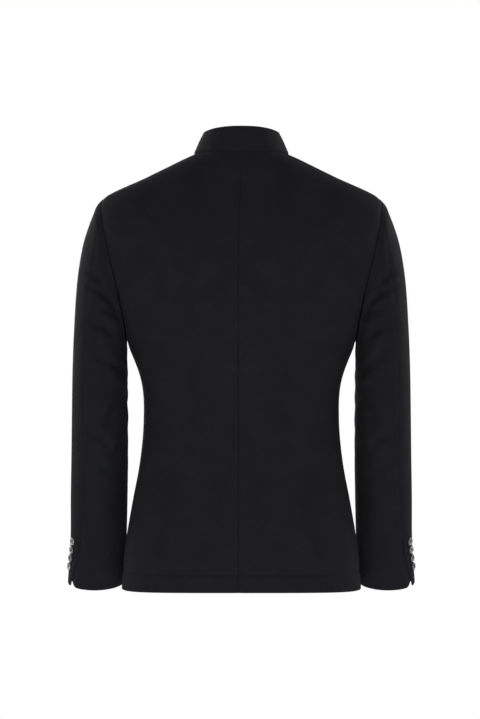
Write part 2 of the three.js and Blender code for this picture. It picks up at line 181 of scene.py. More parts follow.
def suiting_material():
    """The suiting: twill colour and bump on the cloth's own UV map, high roughness and a low sheen."""
    material, shader = plain_material("suiting", suiting_dark[:3], 0.78)
    shader.inputs["Specular IOR Level"].default_value = 0.03
    shader.inputs["Sheen Weight"].default_value = 0.012
    shader.inputs["Sheen Roughness"].default_value = 0.45
    tree = material.node_tree
    cloth = tree.nodes.new("ShaderNodeUVMap")
    cloth.uv_map = "cloth"
    twill = tree.nodes.new("ShaderNodeGroup")
    twill.node_tree = twill_group()
    twill.inputs["Wale"].default_value = wale
    colour = tree.nodes.new("ShaderNodeValToRGB")
    colour.color_ramp.elements[0].color = suiting_dark
    colour.color_ramp.elements[0].position = 0.3
    colour.color_ramp.elements[1].color = suiting_light
    colour.color_ramp.elements[1].position = 0.75
    rough = tree.nodes.new("ShaderNodeMapRange")
    rough.inputs["To Min"].default_value = 0.84
    rough.inputs["To Max"].default_value = 0.66
    bump = tree.nodes.new("ShaderNodeBump")
    bump.inputs["Distance"].default_value = 0.00012
    bump.inputs["Strength"].default_value = 0.5
    tree.links.new(cloth.outputs["UV"], twill.inputs["Cloth"])
    tree.links.new(twill.outputs["Mask"], colour.inputs["Fac"])
    tree.links.new(twill.outputs["Mask"], rough.inputs["Value"])
    tree.links.new(twill.outputs["Height"], bump.inputs["Height"])
    tree.links.new(colour.outputs["Color"], shader.inputs["Base Color"])
    tree.links.new(rough.outputs["Result"], shader.inputs["Roughness"])
    tree.links.new(bump.outputs["Normal"], shader.inputs["Normal"])
    return material


suiting = suiting_material()

# ---- back panels ----------------------------------------------------------------------------
# Two backs of suiting, sewn together down the centre back and pressed open. With the fronts
# they make one round, waisted form, whose rings this table gives from the hem (0) past the
# underarm (6) and the shoulder tip (10) to the neck seam (12), in millimetres.
body_rings = np.array([
    # z back, z side, z front, half width, back depth, front depth, back power, front power
    [-698, -702.5, -701, 194, 118, 122, 2.8, 2.3],
    [-631, -632, -632, 188.2, 115, 119, 2.7, 2.3],
    [-565, -565, -565, 177.3, 108, 114, 2.6, 2.3],
    [-500, -500, -500, 165.3, 100, 109, 2.5, 2.3],
    [-435, -435, -435, 159.2, 97, 107, 2.4, 2.3],
    [-370, -370, -370, 162.2, 102, 111, 2.4, 2.3],
    [-305, -305, -305, 186, 110, 117, 2.3, 2.3],
    [-238, -238, -250, 215, 113, 119, 2.3, 2.3],
    [-175, -168, -205, 240, 111, 116, 2.3, 2.3],
    [-122, -106, -166, 247, 104, 110, 2.2, 2.2],
    [-80, -70.5, -131, 226, 95, 102, 2.05, 2.05],
    [-39, -35, -95, 152, 84, 90, 2.15, 2.1],
    [1, 1.5, -64, 77.5, 72, 75, 2.1, 2],
])
wall = 2.0                      # the cloth with its seam allowances
seam_gap = -0.1                 # sewn edges press into each other a little
neck_level, underarm_level = 12, 6
ring_rise, neck_rise = 65, 50   # roughly how far apart levels are, low down and near the neck
armhole_level, armhole_reach, armhole_cut = 8, 2, 30
side_seam_turn = 75
back_seam_drift = 5             # the centre back seam hangs this far to the wearer's left
hem_depth = 27                  # the turned-up hem, held by one line of stitches
armhole_valley, neck_valley = (1.44, 7), (0.8, 7)   # how deep and wide the seams' valleys are
border_steps = np.array([0, 0.12, 0.4, 0.8, 1.4, 2.4])
cloth_pitch = 4.0               # between the mesh's own lines

# Creases on the back and the front. Each runs between two points seen from behind or in
# front, bows sideways, and is a soft trough with a low ridge on each side; negative is a ridge.
back_creases = np.array([
    # x0, z0, x1, z1, bow, half width, depth
    [150, -208, 96, -150, 10, 30, 1.6],
    [-146, -214, -98, -152, -10, 28, 1.5],
    [128, -330, 60, -392, 8, 26, 1.2],
    [-124, -322, -52, -398, -8, 28, 1.4],
    [70, -420, 16, -436, 4, 20, 0.8],
    [-88, -428, -22, -414, -4, 22, 0.9],
    [118, -500, 132, -610, -8, 22, 1.6],
    [-128, -508, -134, -622, 8, 24, 1.5],
    [40, -520, 30, -650, 5, 30, -1.0],
    [-46, -530, -34, -648, -5, 30, -1.1],
])
front_creases = np.array([
    [182, -262, 110, -206, 10, 22, 1.9],
    [-178, -270, -112, -200, -10, 24, 1.7],
    [150, -340, 46, -404, 10, 20, 1.7],
    [-146, -352, -40, -412, -8, 22, 1.5],
    [128, -432, 34, -428, -8, 18, 1.4],
    [-132, -424, -30, -436, 8, 18, 1.5],
    [96, -520, 104, -640, -6, 24, 1.2],
    [-92, -512, -102, -632, 6, 24, 1.3],
])


def along(rows, place):
    """All columns of a table at places between its rows: a Catmull-Rom curve, straight on past both ends."""
    start = np.clip(np.floor(place), 0, len(rows) - 2).astype(int)
    t = (place - start)[..., None]
    longer = np.vstack([2 * rows[0] - rows[1], rows, 2 * rows[-1] - rows[-2]])
    a, b, c, d = (longer[start + k] for k in range(4))
    square, cube = t ** 2, t ** 3
    return 0.5 * (2 * b + (c - a) * t + (2 * a - 5 * b + 4 * c - d) * square + (3 * b - a - 3 * c + d) * cube)


def bump(distance, height, width):
    """A soft ridge: its height on a line, dying away with the distance from it."""
    return height * np.exp(-(distance / width) ** 2)


def smooth(low, high, value):
    """Rises from 0 at low to 1 at high with level ends; it falls where low is the greater."""
    t = np.clip((value - low) / (high - low), 0, 1)
    return t * t * (3 - 2 * t)


def ring_point(ring, turn):
    """Points of a squared ellipse. Turn is 0 at the centre back, 90 at the left side and 180 at the centre
    front; the height goes from the middle's to the side's with the square of the sine."""
    side, depth = np.sin(np.radians(turn)), np.cos(np.radians(turn))
    behind = depth > 0
    power = 2 / np.where(behind, ring[..., 6], ring[..., 7])
    middle = np.where(behind, ring[..., 0], ring[..., 2])
    reach = np.where(behind, ring[..., 4], -ring[..., 5])
    x = ring[..., 3] * np.sign(side) * np.abs(side) ** power
    return np.stack([x, reach * np.abs(depth) ** power, middle + (ring[..., 1] - middle) * side ** 2], -1)


def body_point(turn, level):
    """Points of the body's form at a turn and a level."""
    turn, level = np.broadcast_arrays(turn, level)
    return ring_point(along(body_rings, np.asarray(level, float)), turn)


def unit(vectors):
    """The vectors at length 1."""
    return vectors / np.maximum(np.linalg.norm(vectors, axis=-1, keepdims=True), 1e-9)


def surface_normal(surface, u, v, du, dv):
    """Outward normals: the cross product of the surface's slope round and its slope down."""
    return unit(np.cross(surface(u + du, v) - surface(u - du, v), surface(u, v - dv) - surface(u, v + dv)))


def body_normal(turn, level):
    """Outward normals of the body's form."""
    return surface_normal(body_point, turn, level, 0.5, 0.02)


def crease_relief(x, z, creases):
    """How far creases press the cloth in: for each, across the line from its first to its second point, a
    trough (1 - 0.9 s squared) times exp(-s squared) of its half width, faded past both ends."""
    relief = np.zeros(np.shape(x))
    for x0, z0, x1, z1, bow, wide, deep in creases:
        length = np.hypot(x1 - x0, z1 - z0)
        ahead, aside = (x1 - x0) / length, (z1 - z0) / length
        t = ((x - x0) * ahead + (z - z0) * aside) / length
        across = (z - z0) * ahead - (x - x0) * aside - bow * (1 - (2 * t - 1) ** 2)
        s = across / wide
        ends = smooth(-0.35, 0.3, t) * smooth(1.35, 0.7, t)
        relief += deep * ends * (1 - 0.9 * s * s) * np.exp(-s * s)
    return relief


def armhole_turn(place):
    """The armhole's turn. Place 0 is the shoulder tip, 90 behind, 180 the underarm and 270 in front."""
    return 90 - armhole_cut * np.sin(np.radians(place))


def armhole_height(place):
    """The armhole's level at a place."""
    return armhole_level + armhole_reach * np.cos(np.radians(place))


armhole_line = body_point(armhole_turn(np.arange(0, 360, 3.0)), armhole_height(np.arange(0, 360, 3.0)))


def near_armhole(points):
    """Distance from points on the wearer's left to the armhole seam."""
    flat = points.reshape(-1, 1, 3)
    parts = [np.linalg.norm(part - armhole_line, axis=-1).min(-1) for part in np.array_split(flat, 16)]
    return np.concatenate(parts).reshape(points.shape[:-1])


def armhole_edge(place, normal):
    """Inward direction at the armhole: to the middle of the hole over the shoulder, and half along the
    cloth's own normal at the underarm, where body and sleeve hang back to back."""
    lift = np.cos(np.radians(place))
    across = unit(np.stack([0 * lift, 2 * np.sin(np.radians(place)), lift], -1))
    own = (0.5 * smooth(0.3, -1, lift))[..., None]
    return unit(across * (1 - own) + normal * own)


def back_seam_x(level):
    """Where the centre back seam runs: on the centre at the neck, drifting to the wearer's left below."""
    return back_seam_drift * smooth(neck_level, 8, level)


def body_relief(points, level, side, creases):
    """How far the cloth lies in or out of the body's form, outward positive, at points of the left half:
    creases, the pressed valleys along the armhole and the neck seam, and the thicker turned-up hem."""
    relief = -crease_relief(points[..., 0] * side, points[..., 2], creases)
    relief = relief * smooth(0, 0.9, level) * smooth(neck_level, 10.8, level)
    armhole = near_armhole(points)
    relief -= bump(armhole, *armhole_valley)
    relief -= bump((neck_level - level) * neck_rise, *neck_valley)
    above_hem = level * ring_rise - hem_depth
    relief += 0.35 * smooth(3, -3, above_hem) - bump(above_hem, 1.3, 2.2)
    relief -= bump(above_hem - 7, 0.5, 2.5)
    return relief


def back_surface(turn, level, side):
    """Points and normals of one back's outer face, before its borders are rounded: the body's form with its
    relief, a slight hollow along the centre back seam and a faint swell over the shoulder blade."""
    points, normals = body_point(turn, level), body_normal(turn, level)
    relief = body_relief(points, level, side, back_creases)
    from_seam = points[..., 0] - side * back_seam_x(level)
    relief -= bump(from_seam, 1.5, 5) * smooth(neck_level, 10.6, level)
    blade = ((points[..., 0] - 92) / 55) ** 2 + ((points[..., 2] + 150) / 60) ** 2
    relief += 2.2 * np.exp(-blade)
    return points + normals * relief[..., None], normals


def spaced(length, pitch):
    """Places from 0 to a length: close together at both borders, then about a pitch apart."""
    inner = np.linspace(border_steps[-1], length - border_steps[-1], max(int(length / pitch), 3))[1:-1]
    return np.concatenate([border_steps, inner, length - border_steps[::-1]])


def spread_columns(point_at, start, end, levels, count):
    """Turns for each row between its start and end turn, close together at both borders and evenly spaced by
    the cloth's own length between, with each column's distance from both borders, in millimetres."""
    shares = np.linspace(0, 1, 600)
    shares = shares - 0.45 * np.sin(2 * np.pi * shares) / (2 * np.pi)
    dense = start[:, None] + (end - start)[:, None] * shares
    steps = np.linalg.norm(np.diff(point_at(dense, levels[:, None]), axis=1), axis=-1)
    reached = np.concatenate([np.zeros((len(start), 1)), np.cumsum(steps, 1)], 1)
    inner = np.linspace(0, 1, count + 2)[1:-1]
    turns, places = [], []
    for row in range(len(start)):
        length, border = reached[row, -1], border_steps[-1]
        middle = border + (length - 2 * border) * inner
        place = np.concatenate([border_steps, middle, length - border_steps[::-1]])
        turns.append(np.interp(place, reached[row], dense[row]))
        places.append(place)
    places = np.array(places)
    return np.array(turns), places, np.minimum(places, places[:, -1:] - places)


def tucked(distance):
    """How far a border's face curls towards the middle of the wall: a quarter of a circle."""
    near = np.clip(distance / (wall / 2), 0, 1)
    return wall / 2 * (1 - np.sqrt(1 - (1 - near) ** 2))


def cloth_piece(name, side, face, inward, border, places):
    """A closed wall of cloth from a grid of outer points, the directions into the cloth and each point's
    distance from the nearest border, all mirrored for the right side. Both faces curl in to meet along the
    borders. Its UV map is the cloth's own length round and down, in metres."""
    face, inward = mirrored(face, side), mirrored(inward, side)
    curl = tucked(border)[..., None]
    rows, columns = border.shape
    outer = np.arange(rows * columns).reshape(rows, columns)
    inner = outer.copy()
    inner[1:-1, 1:-1] = rows * columns + np.arange((rows - 2) * (columns - 2)).reshape(rows - 2, columns - 2)
    under = (face + inward * (wall - curl))[1:-1, 1:-1]
    points = np.concatenate([(face + inward * curl).reshape(-1, 3), under.reshape(-1, 3)])
    down = np.linalg.norm(np.diff(face, axis=0), axis=-1).mean(1)
    down = np.concatenate([[0], np.cumsum(down)])[:, None] + 0 * places
    cloth = np.stack([places, down], -1) / 1000
    cloth = np.concatenate([cloth.reshape(-1, 2), cloth[1:-1, 1:-1].reshape(-1, 2)])

    def quads(index):
        return np.stack([index[:-1, :-1], index[:-1, 1:], index[1:, 1:], index[1:, :-1]], -1).reshape(-1, 4)

    faces = np.concatenate([quads(outer), quads(inner)[:, ::-1]])
    a, b, c, d = (points[faces[:, k]] for k in range(4))
    if np.einsum("ij,ij->", a + b + c + d, np.cross(c - a, d - b)) < 0:
        faces = faces[:, ::-1]
    made = mesh_object(name, points, faces, suiting)
    corners = np.zeros(len(made.data.loops), int)
    made.data.loops.foreach_get("vertex_index", corners)
    made.data.uv_layers.new(name="cloth").data.foreach_set("uv", cloth[corners].ravel())
    return made


both_sides = (("left", 1), ("right", -1))


def mirrored(points, side):
    """The points as they are for the wearer's left, or mirrored for the right."""
    return points * [side, 1, 1]


def placed_cloth(made, node):
    """Fastens a finished cloth piece to the frame and hides the CAD node it stands for."""
    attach(made, "root")
    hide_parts(node)


# The rows of the body's panels: levels to the underarm, places round the armhole, levels to
# the neck. Rows crowd at the hem's and the neck's borders and along the hem's stitches.
def body_rows():
    """Levels and armhole places of the rows, from the hem to the neck; a place is nan off the armhole."""
    hem_lines = (hem_depth + np.array([-3, -1.8, -0.9, 0, 0.9, 1.8, 3, 5, 7, 9, 11])) / ring_rise
    plain = np.arange(cloth_pitch * 1.3, underarm_level * ring_rise - 2, cloth_pitch * 1.15) / ring_rise
    plain = plain[np.abs(plain - hem_lines.mean()) > 0.14]
    below = np.sort(np.concatenate([border_steps / ring_rise, hem_lines, plain]))
    places = np.arange(180, -1, -2.5)
    above = np.linspace(10, neck_level - border_steps[-1] / neck_rise, 34)[1:]
    above = np.concatenate([above, neck_level - border_steps[-2::-1] / neck_rise])
    levels = np.concatenate([below, armhole_height(places), above])
    return levels, np.concatenate([below * np.nan, places, above * np.nan])


levels, places = body_rows()
at_armhole = np.isfinite(places) & (places > 0) & (places < 180)
hem_distance = levels * ring_rise
neck_distance = (neck_level - levels) * neck_rise
row_border = np.minimum(hem_distance, neck_distance)[:, None]


def turn_of_gap(turn, level):
    """Half of the seam gap as degrees of turn, below zero like the gap itself."""
    reach = np.linalg.norm(body_point(turn + 0.01, level) - body_point(turn - 0.01, level), axis=-1)
    return seam_gap / 2 * 0.02 / reach


def edge_turn(side_of_armhole):
    """The turn of a panel's outer edge: side seam, then armhole, then shoulder seam."""
    side_seam = 90 - (90 - side_seam_turn) * smooth(underarm_level, 2.6, levels)
    plain = np.where(levels < underarm_level, side_seam, 90)
    round_armhole = armhole_turn(side_of_armhole * np.nan_to_num(places))
    return np.where(np.isfinite(places), round_armhole, plain)


def inward_body(turns, normals, edge_distance, side_of_armhole):
    """Directions into the cloth: against the normal, but level at the neck seam and as both cloths turn in at
    the armhole."""
    place = (side_of_armhole * np.nan_to_num(places))[:, None] + 0 * turns
    at_edge = (smooth(6, 0, edge_distance) * at_armhole[:, None])[..., None]
    neck = body_point(turns, neck_level) / [body_rings[-1][3], body_rings[-1][4], 1] * [1, 1, 0]
    at_neck = smooth(6, 0, neck_distance)[:, None, None]
    out = normals * (1 - at_edge) + armhole_edge(place, normals) * at_edge
    return -unit(out * (1 - at_neck) + unit(neck) * at_neck)


def make_back(name, side):
    """One back panel, from the centre back seam to the side seam, armhole and shoulder seam."""
    seam = side * back_seam_x(levels) + seam_gap / 2
    ring = along(body_rings, levels)
    start = np.degrees(np.arcsin(np.sign(seam) * (np.abs(seam) / ring[:, 3]) ** (ring[:, 6] / 2)))
    edge = edge_turn(1)
    end = edge - np.where(at_armhole, 0, turn_of_gap(edge, levels))
    turns, round_back, border = spread_columns(body_point, start, end, levels, 46)
    face, normals = back_surface(turns, levels[:, None], side)
    inward = inward_body(turns, normals, round_back[:, -1:] - round_back, 1)
    border = np.minimum(border, row_border)
    made = cloth_piece(f"{name}_back_cloth", side, face, inward, border, round_back)
    placed_cloth(made, f"back_{name}")


for name, side in both_sides:
    make_back(name, side)

# ---- front panels ---------------------------------------------------------------------------
# Two fronts of suiting, joined to the backs at the side and shoulder seams. The left one laps
# over the right past the centre line, and both have softly rounded corners at the hem.
button_lap = 18                 # how far each front runs past the centre line
lap_inset = 3.4                 # how far the under front lies below the upper one
hem_corner = 0.5                # height of the rounded hem corner, in levels
lap_drop = 0.06                 # the upper front's neck corner stays this far below the collar


def front_turn(x, level):
    """The turn at which a ring of the front crosses a distance from the centre line."""
    ring = along(body_rings, np.asarray(level, float))
    return 180 - np.degrees(np.arcsin(np.sign(x) * (np.abs(x) / ring[..., 3]) ** (ring[..., 7] / 2)))


def front_surface(turn, level, side):
    """Points and normals of one front's outer face: the body's form with its relief, and on the wearer's
    right the dip that takes it under the left front."""
    points, normals = body_point(turn, level), body_normal(turn, level)
    relief = body_relief(points, level, side, front_creases)
    if side < 0:
        relief -= lap_inset * smooth(50, button_lap + 5, points[..., 0])
    return points + normals * relief[..., None], normals


def make_front(name, side):
    """One front, from its side seam, armhole and shoulder seam to its lapped edge."""
    edge = edge_turn(-1)
    start = edge + np.where(at_armhole, 0, turn_of_gap(edge, levels))
    end = front_turn(-button_lap, levels)
    turns, round_front, border = spread_columns(body_point, start, end, levels, 58)
    x = body_point(turns, levels[:, None])[..., 0]
    rounding = hem_corner * np.maximum(0, 1 - levels[:, None] / 1.8) * smooth(16, -button_lap, x)
    drop = lap_drop * smooth(2, -8, x) * smooth(11.3, neck_level, levels[:, None])
    face, normals = front_surface(turns, levels[:, None] + rounding - drop, side)
    inward = inward_body(turns, normals, round_front, -1)
    border = np.minimum(border, row_border)
    made = cloth_piece(f"{name}_front_cloth", side, face, inward, border, round_front)
    placed_cloth(made, f"front_{name}")


for name, side in both_sides:
    make_front(name, side)

# ---- patch pockets --------------------------------------------------------------------------
# A square patch on each front with rounded lower corners and a turned-in top band, stitched
# down near its edge. The cloth gapes a little at the mouth.
pocket = {"rear": 0.3, "front": 0.94, "bottom": 0.46, "top": 3.3, "corner": 24, "band": 25, "lift": 0.4}


def pocket_grid():
    """Turns, levels and distances from the borders of a pocket's points, on the left front: even shares
    across, and heights that start higher near both lower corners, along a quarter circle."""
    height = (pocket["top"] - pocket["bottom"]) * ring_rise
    up = spaced(height, cloth_pitch)[:, None]
    level = pocket["bottom"] + up / ring_rise
    edge = 90 - (90 - side_seam_turn) * smooth(underarm_level, 2.6, level)
    reach = front_turn(50, level) - edge
    rear, front = edge + pocket["rear"] * reach, edge + pocket["front"] * reach
    turns, across, border = spread_columns(body_point, rear[:, 0], front[:, 0], level[:, 0], 42)
    short = np.clip(1 - border / pocket["corner"], 0, 1)
    rise = pocket["corner"] * (1 - np.sqrt(1 - short ** 2))
    up = rise + up * (height - rise) / height
    level = pocket["bottom"] + up / ring_rise
    from_top = height - up
    return turns, level, across, np.minimum(border, np.minimum(up - rise, from_top)), border, from_top


def pocket_surface(side):
    """Points, normals, places across and border distances of a pocket's outer face: the front's own face
    moved out, with grooves along the stitches and the top band, and a mouth that gapes in the middle."""
    turns, level, across, border, from_sides, from_top = pocket_grid()
    points, normals = front_surface(turns, level, side)
    height = pocket["lift"] + wall
    height = height - bump(border - 5, 0.5, 1.5)
    height = height - bump(from_top - pocket["band"], 0.5, 1.6)
    height = height + 1.8 * smooth(40, 0, from_top) * smooth(15, 60, from_sides)
    return points + normals * height[..., None], normals, across, border


for name, side in both_sides:
    face, normals, across, border = pocket_surface(side)
    patch = cloth_piece(f"{name}_pocket_cloth", side, face, -normals, border, across)
    placed_cloth(patch, f"pocket_{name}")

# ---- stand collar ---------------------------------------------------------------------------
# One stiffened band sewn into the neck seam. It leans in a little towards the neck, and its
# rounded ends meet at the centre front.
collar_top = np.array([41.5, 36, -26, 62, 63, 60, 2.4, 2])     # the body rings' columns
collar_half_gap = 1.2
collar_corner = {"turn": 17, "drop": 0.5}
collar_height = 41
collar_tuck = 0.012             # the share of its height that goes down into the neck seam


def collar_form(turn, height):
    """Points of the collar's form: between the neck seam's ring and the smaller top ring."""
    turn, height = np.broadcast_arrays(turn, height)
    foot = body_point(turn, neck_level)
    return foot + (ring_point(collar_top, turn) - foot) * height[..., None]


def collar_surface(turn, height):
    """Points and normals of the collar's outer face: its form with a soft swell over the inner canvas, a
    roll above the neck seam and a shallow groove along the edge stitches."""
    points = collar_form(turn, height)
    normals = surface_normal(lambda u, v: collar_form(u, v), turn, height, 0.3, 0.02)
    up = height * collar_height
    relief = 0.7 * np.sin(np.pi * np.clip(height, 0, 1)) - bump(up, 0.9, 1.8)
    relief = relief + bump(up - 4, 0.5, 2.5)
    relief = relief - bump(collar_height - 5 - up, 0.35, 1.6)
    return points + normals * np.asarray(relief)[..., None], normals


def make_collar():
    """The whole band, from end to end round the back."""
    end = front_turn(collar_half_gap, neck_level)
    up = spaced(collar_height, 2.6)
    height = -collar_tuck + (1 + collar_tuck) * up / collar_height
    turns, across, border = spread_columns(collar_form, 0 * up - end, 0 * up + end, height, 118)
    to_end = np.clip((end - np.abs(turns)) / collar_corner["turn"], 0, 1)
    low = 1 - collar_corner["drop"] * (1 - np.sqrt(1 - (1 - to_end) ** 2))
    face, normals = collar_surface(turns, height[:, None] * low)
    border = np.minimum(border, np.minimum(up, collar_height - up)[:, None])
    foot = smooth(6, 0, up)[:, None, None]
    level_out = unit(collar_form(turns, 0 * turns) / [body_rings[-1][3], body_rings[-1][4], 1] * [1, 1, 0])
    inward = -unit(normals * (1 - foot) + level_out * foot)
    made = cloth_piece("stand_collar_cloth", 1, face, inward, border, across)
    placed_cloth(made, "collar")


make_collar()

# ---- sleeves --------------------------------------------------------------------------------
# Each sleeve is two pieces of suiting, a wide top sleeve and a narrower under sleeve, joined at
# the inner seam and at the hind seam, which opens into a short buttoned vent at the cuff. The
# rings run down the wearer's left sleeve from the armhole (0) to the cuff (11).
sleeve_rings = np.array([
    # outer x, outer z, inner x, inner z, middle y, half depth, lean, hind seam in degrees
    [226, -70, 186, -305, -2, 62, 0, 60],
    [237, -88, 186, -308, -2, 62, 0, 60],
    [247.8, -113, 186, -312, -1, 62, 0, 60],
    [258.8, -150, 185.5, -318, 0, 62, 0, 60],
    [267.3, -205, 185.3, -330, 0, 61, 0, 60],
    [272.1, -275, 185, -352, 0, 59, 0.02, 60],
    [275.1, -345, 184.8, -386, -2, 57, 0.05, 60],
    [276.6, -415, 184.8, -432, -6, 54.5, 0.1, 60],
    [278.2, -485, 185.4, -492, -15, 52, 0.16, 60],
    [280.5, -557, 187, -560, -28, 49.5, 0.2, 60],
    [282.3, -629, 189.6, -630, -43, 47, 0.23, 50],
    [288, -700, 193, -700, -57, 45, 0.23, 31],
])
cuff_step = 11
step_length = 70
front_seam = 220                # where the inner seam runs, in degrees from the outer point
sleeve_radius = 50
sleeve_half_gap = -0.06
head_press = 0.15               # how far the sleeve's head is pressed into the armhole
cap_roll, cap_roll_from_seam = (1.2, 9), 12     # the head's soft roll beside the armhole
hind_crease_gain = 2.6          # the hind creases' depths in the table are before this gain
vent_top = 9.8                  # the step at which the hind seam opens
cuff_corners = {"top": 4.0, "under": 16.0}      # the radius of each piece's corner at the vent

# Creases seen from behind and from in front, as on the body. The left and the right sleeve
# have their own, alike but not the same.
hind_creases = {
    "left": np.array([
        [248, -196, 222, -216, -5, 8, 2.0],
        [216, -226, 196, -240, 0, 7, -1.8],
        [238, -219, 200, -248, -5, 8, 3.0],
        [216, -256, 190, -266, -2, 8, 2.2],
        [246, -274, 208, -286, -4, 12, 2.2],
        [240, -296, 218, -336, 5, 11, 1.6],
        [208, -338, 186, -352, 0, 9, 1.3],
        [206, -366, 188, -372, 0, 8, -1.0],
        [184, -388, 214, -440, 3, 12, 1.6],
        [243, -449, 212, -474, -4, 9, 1.6],
        [186, -462, 204, -494, 2, 10, 0.9],
        [232, -500, 198, -520, 3, 10, 0.8],
        [194, -530, 200, -600, 2, 15, 0.7],
        [246, -420, 232, -380, 4, 14, -0.9],
        [236, -575, 212, -582, 2, 9, 0.7],
    ]),
    "right": np.array([
        [246, -195, 221, -217, -5, 8, 2.1],
        [218, -228, 197, -239, 0, 7, -1.9],
        [237, -221, 199, -250, -6, 8, 2.9],
        [218, -257, 191, -264, -2, 8, 2.0],
        [244, -276, 206, -290, -3, 12, 2.3],
        [238, -300, 214, -334, 4, 11, 1.5],
        [208, -342, 186, -352, 0, 9, 1.4],
        [206, -364, 190, -372, 0, 8, -1.0],
        [184, -392, 215, -436, 3, 12, 1.7],
        [241, -454, 210, -472, -4, 9, 1.5],
        [186, -466, 204, -500, 2, 10, 0.8],
        [230, -508, 200, -522, 3, 10, 0.9],
        [194, -534, 201, -606, 2, 15, 0.7],
        [244, -424, 233, -386, 4, 14, -0.8],
        [234, -580, 214, -584, 2, 9, 0.6],
    ]),
}
fore_creases = {
    "left": np.array([
        [246, -226, 196, -262, 6, 11, 2.0],
        [240, -268, 190, -292, 5, 11, 1.8],
        [186, -330, 226, -352, -6, 12, 2.4],
        [188, -372, 240, -380, -5, 12, 3.0],
        [188, -408, 252, -402, -5, 13, 3.2],
        [190, -446, 246, -428, -5, 13, 2.6],
        [192, -486, 236, -462, -4, 13, 2.0],
        [238, -530, 204, -548, 3, 12, 1.1],
    ]),
    "right": np.array([
        [244, -230, 194, -260, 6, 11, 1.8],
        [242, -272, 190, -296, 5, 12, 2.0],
        [186, -336, 224, -354, -6, 12, 2.2],
        [188, -376, 244, -386, -5, 12, 3.1],
        [188, -414, 250, -404, -5, 13, 3.0],
        [190, -450, 248, -434, -5, 13, 2.7],
        [192, -490, 232, -468, -4, 13, 1.8],
        [236, -524, 206, -544, 3, 12, 1.2],
    ]),
}


def sleeve_ring_point(around, step):
    """Points of the sleeve's rings: leaning ellipses."""
    ring = along(sleeve_rings, step)
    out, back = np.cos(np.radians(around)), np.sin(np.radians(around))
    x = (ring[..., 0] + ring[..., 2]) / 2 + (ring[..., 0] - ring[..., 2]) / 2 * out
    middle, reach = (ring[..., 1] + ring[..., 3]) / 2, (ring[..., 1] - ring[..., 3]) / 2
    z = middle + reach * out - ring[..., 6] * ring[..., 5] * back
    return np.stack([x, ring[..., 4] + ring[..., 5] * back, z], -1)


def sleeve_form(around, step):
    """Points of the left sleeve's form: its rings, bent near the head to meet the armhole's own curve."""
    around, step = (np.asarray(values, float) for values in np.broadcast_arrays(around, step))
    armhole = body_point(armhole_turn(around), armhole_height(around))
    to_armhole = armhole - sleeve_ring_point(around, 0 * step)
    return sleeve_ring_point(around, step) + to_armhole * smooth(3, 0, step)[..., None]


def hind_seam(step):
    """Where the hind seam crosses a step, in degrees."""
    return along(sleeve_rings, np.asarray(step, float))[..., 7]


def sleeve_surface(around, step, name):
    """Points and normals of a sleeve's outer face: its form with creases, the pressed hind seam, the valley
    at the armhole with the cap's roll beside it, and the vent's edge, which laps over the under sleeve."""
    points = sleeve_form(around, step)
    normals = surface_normal(sleeve_form, around, np.maximum(step, 0.06), 0.5, 0.05)
    behind = smooth(-0.2, 0.2, np.sin(np.radians(around)))
    relief = -hind_crease_gain * behind * crease_relief(points[..., 0], points[..., 2], hind_creases[name])
    relief -= (1 - behind) * crease_relief(points[..., 0], points[..., 2], fore_creases[name])
    relief = relief * smooth(0, 0.7, step)
    from_hind = (around - hind_seam(step)) * np.radians(sleeve_radius)
    vent = smooth(vent_top, vent_top + 0.15, step)
    relief -= bump(from_hind, 0.8, 4.5) * (1 - vent)
    upper = 0.9 * smooth(-16, -2, from_hind) * (from_hind < 0)
    under = 1.1 * smooth(16, 2, from_hind) * (from_hind > 0)
    relief += vent * (upper - under)
    armhole = near_armhole(points)
    cap = smooth(-0.3, 0.5, np.cos(np.radians(around)))
    relief += cap * bump(armhole - cap_roll_from_seam, *cap_roll) - bump(armhole, 0.9, 6)
    points = points + normals * relief[..., None]
    points[..., 0] -= head_press * smooth(0.2, 0, step)
    return points, normals


sleeve_down = spaced(cuff_step * step_length, cloth_pitch * 1.1)
sleeve_steps = sleeve_down / step_length


def make_sleeve_piece(name, side, piece, start, end, hind_first, count):
    """One piece of a sleeve between two lines down it, with its corner at the vent rounded."""
    gap = sleeve_half_gap / np.radians(sleeve_radius)
    arounds, across, border = spread_columns(sleeve_form, start + gap, end - gap, sleeve_steps, count)
    from_hind = across if hind_first else across[:, -1:] - across
    radius = cuff_corners[piece]
    short = np.clip(1 - from_hind / radius, 0, 1)
    rise = radius * (1 - np.sqrt(1 - short ** 2)) * smooth(10.2, cuff_step, sleeve_steps)[:, None]
    steps = sleeve_steps[:, None] - rise / step_length
    face, normals = sleeve_surface(arounds, steps, name)
    at_head = smooth(0.16, 0, sleeve_steps)[:, None, None]
    inward = -unit(normals * (1 - at_head) + armhole_edge(arounds, normals) * at_head)
    border = np.minimum(border, np.minimum(sleeve_down, sleeve_down[-1] - sleeve_down)[:, None])
    made = cloth_piece(f"{name}_{piece}_sleeve_cloth", side, face, inward, border, across)
    placed_cloth(made, f"sleeve_{piece}_{name}")


for name, side in both_sides:
    hind = hind_seam(sleeve_steps)
    inner = 0 * hind + front_seam
    make_sleeve_piece(name, side, "top", inner - 360, hind, False, 54)
    make_sleeve_piece(name, side, "under", hind, inner, True, 38)

# ---- buttons --------------------------------------------------------------------------------
# Turned discs of polished grey horn-look resin with a raised rim, a dished face and four holes,
# sewn on with a cross of dark thread: five down the front and four on each cuff.
front_button = {"radius": 10, "thick": 4, "levels": [11.2, 8.53, 6.44, 4.885, 3.4], "stand": 0.5}
cuff_button = {"count": 4, "radius": 6.4, "thick": 3, "first": 9.94, "pitch": 14.6, "ahead": 20, "stand": 0.4}
button_around = 56


